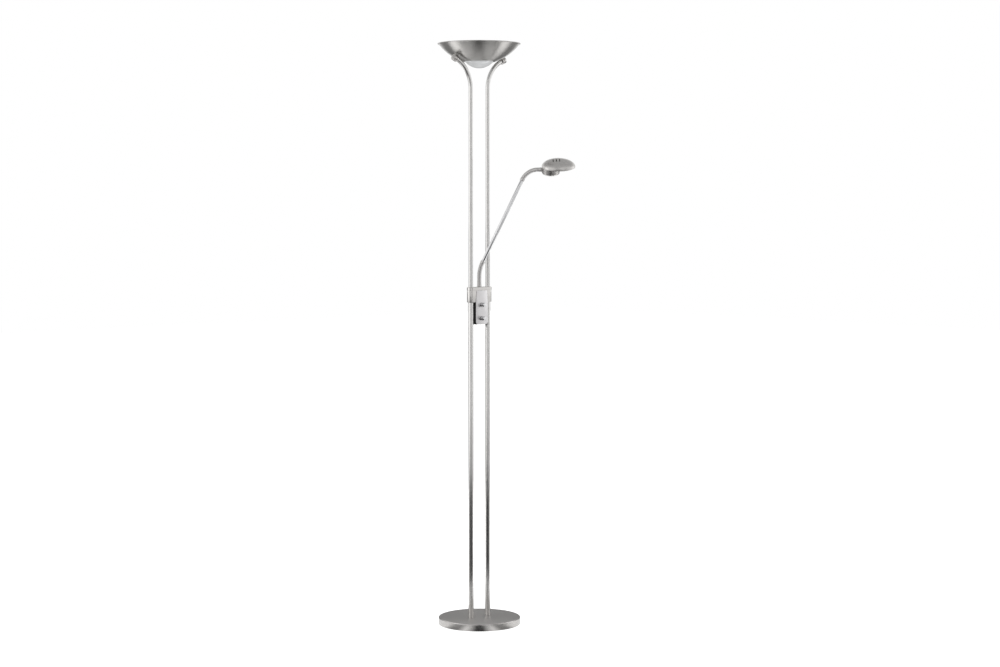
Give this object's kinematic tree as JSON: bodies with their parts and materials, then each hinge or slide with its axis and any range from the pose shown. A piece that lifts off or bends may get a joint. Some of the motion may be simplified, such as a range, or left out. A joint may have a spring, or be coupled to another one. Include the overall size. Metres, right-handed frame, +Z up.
{
  "type": "torchiere floor lamp with reading light",
  "caption": "Free-standing uplighter with an open round bowl on twin poles and a weighted round base, with a dimmer box and a flexible side arm for reading.",
  "frame": {"origin": "centre of the base's underside, on the floor", "axes": "+Z up, +X along the line of the two poles, -Y towards the side with the dimmer knobs"},
  "size_m": [0.3528, 0.3391, 1.8007],
  "materials": {
    "brushed_nickel": "satin nickel plate, brushed along the piece",
    "brushed_bowl": "satin nickel plate, brushed round the axis",
    "satin_plate": "satin silver plate, brushed lengthwise",
    "chrome_rod": "polished chrome tube",
    "chrome_knob": "polished turned knob",
    "neck_metal": "satin ribbed metal hose",
    "zinc_steel": "bright zinc plated steel",
    "cast_iron": "raw casting, black primer",
    "foam_pad": "dense black foam",
    "black_rubber": "moulded rubber",
    "black_plastic": "black moulded plastic, fine texture",
    "white_plastic": "white moulded plastic",
    "circuit_board": "bare laminate",
    "ceramic": "glazed steatite",
    "frosted_glass": "acid frosted pressed glass",
    "clear_quartz": "clear quartz tube",
    "bright_aluminium": "bright pressed sheet",
    "wire_insulation": "white silicone insulation"
  },
  "bodies": {
    "stand": {"base_cover": "brushed_nickel", "base_weight": "cast_iron", "floor_pad": "foam_pad", "cord_grommet": "black_rubber", "foot_bushes": "zinc_steel", "foot_nipples": "zinc_steel", "foot_washers": "zinc_steel", "foot_nuts": "zinc_steel", "lower_tube_left": "brushed_nickel", "lower_tube_right": "brushed_nickel", "upper_tube_left": "brushed_nickel", "upper_tube_right": "brushed_nickel", "clamp_core": "black_plastic", "clamp_band": "brushed_nickel", "clamp_cap": "brushed_nickel", "arm_bush": "zinc_steel", "box_housing": "black_plastic", "front_plate": "satin_plate", "box_screws": "zinc_steel", "dimmer_board": "circuit_board", "dimmer_bodies": "black_plastic", "dimmer_nuts": "zinc_steel", "terminal_block": "white_plastic", "bowl": "brushed_bowl", "bowl_spacers": "zinc_steel", "end_blocks": "brushed_nickel", "bowl_nipples": "zinc_steel", "bowl_nuts": "zinc_steel", "glass_dish": "frosted_glass", "lamp_bracket": "zinc_steel", "lamp_holders": "ceramic", "tube_lamp": "clear_quartz", "wires": "wire_insulation"},
    "upper_knob": {"upper_knob": "chrome_knob", "upper_shaft": "zinc_steel"},
    "lower_knob": {"lower_knob": "chrome_knob", "lower_shaft": "zinc_steel"},
    "arm_stem": {"arm_stem": "neck_metal", "stem_nut": "zinc_steel"},
    "lower_link_1": {"lower_neck_link_1": "neck_metal"},
    "lower_link_2": {"lower_neck_link_2": "neck_metal"},
    "lower_link_3": {"lower_neck_link_3": "neck_metal"},
    "lower_link_4": {"lower_neck_link_4": "neck_metal"},
    "arm_rod": {"rod_foot": "neck_metal", "arm_rod": "chrome_rod", "rod_head": "neck_metal"},
    "upper_link_1": {"upper_neck_link_1": "neck_metal"},
    "upper_link_2": {"upper_neck_link_2": "neck_metal"},
    "upper_link_3": {"upper_neck_link_3": "neck_metal"},
    "upper_link_4": {"upper_neck_link_4": "neck_metal"},
    "head_collar": {"head_collar": "neck_metal", "pin_clip": "zinc_steel"},
    "head": {"head_shell": "brushed_nickel", "head_underplate": "brushed_nickel", "head_cup": "brushed_nickel", "head_reflector": "bright_aluminium", "head_glass": "frosted_glass", "capsule_holder": "ceramic", "capsule_lamp": "clear_quartz", "head_screws": "zinc_steel"}
  },
  "joints": [
    {"name": "upper_knob_turn", "type": "hinge", "parent": "stand", "child": "upper_knob", "pos_m": [0, -0.01315, 0.997], "axis": [0, 1, 0], "range_deg": [0, 270]},
    {"name": "lower_knob_turn", "type": "hinge", "parent": "stand", "child": "lower_knob", "pos_m": [0, -0.01315, 0.955], "axis": [0, 1, 0], "range_deg": [0, 270]},
    {"name": "arm_swivel", "type": "hinge", "parent": "stand", "child": "arm_stem", "pos_m": [0, 0, 1.052], "axis": [0, 0, 1], "range_deg": [-110, 16]},
    {"name": "lower_neck_bend_1", "type": "hinge", "parent": "arm_stem", "child": "lower_link_1", "pos_m": [0, 0, 1.05972], "axis": [0.6691, 0.7431, 0], "range_deg": [-3, 10]},
    {"name": "lower_neck_bend_2", "type": "hinge", "parent": "lower_link_1", "child": "lower_link_2", "pos_m": [0, 0, 1.07516], "axis": [0.6691, 0.7431, 0], "range_deg": [-3, 10]},
    {"name": "lower_neck_bend_3", "type": "hinge", "parent": "lower_link_2", "child": "lower_link_3", "pos_m": [0.00021, -0.00019, 1.09059], "axis": [0.6691, 0.7431, 0], "range_deg": [-3, 10]},
    {"name": "lower_neck_bend_4", "type": "hinge", "parent": "lower_link_3", "child": "lower_link_4", "pos_m": [0.00191, -0.00172, 1.10585], "axis": [0.6691, 0.7431, 0], "range_deg": [-3, 10]},
    {"name": "lower_neck_bend_5", "type": "hinge", "parent": "lower_link_4", "child": "arm_rod", "pos_m": [0.00508, -0.00458, 1.12071], "axis": [0.6691, 0.7431, 0], "range_deg": [-3, 10]},
    {"name": "upper_neck_bend_1", "type": "hinge", "parent": "arm_rod", "child": "upper_link_1", "pos_m": [0.10108, -0.09101, 1.38912], "axis": [0.6691, 0.7431, 0], "range_deg": [-10, 8]},
    {"name": "upper_neck_bend_2", "type": "hinge", "parent": "upper_link_1", "child": "upper_link_2", "pos_m": [0.10834, -0.09755, 1.39969], "axis": [0.6691, 0.7431, 0], "range_deg": [-10, 8]},
    {"name": "upper_neck_bend_3", "type": "hinge", "parent": "upper_link_2", "child": "upper_link_3", "pos_m": [0.11714, -0.10548, 1.40766], "axis": [0.6691, 0.7431, 0], "range_deg": [-10, 8]},
    {"name": "upper_neck_bend_4", "type": "hinge", "parent": "upper_link_3", "child": "upper_link_4", "pos_m": [0.1272, -0.11453, 1.41224], "axis": [0.6691, 0.7431, 0], "range_deg": [-10, 8]},
    {"name": "upper_neck_bend_5", "type": "hinge", "parent": "upper_link_4", "child": "head_collar", "pos_m": [0.13779, -0.12406, 1.41325], "axis": [0.6691, 0.7431, 0], "range_deg": [-10, 8]},
    {"name": "head_turn", "type": "hinge", "parent": "head_collar", "child": "head", "pos_m": [0.14311, -0.12886, 1.41325], "axis": [0.7431, -0.6691, 0], "range_deg": [-112, 67]}
  ]
}
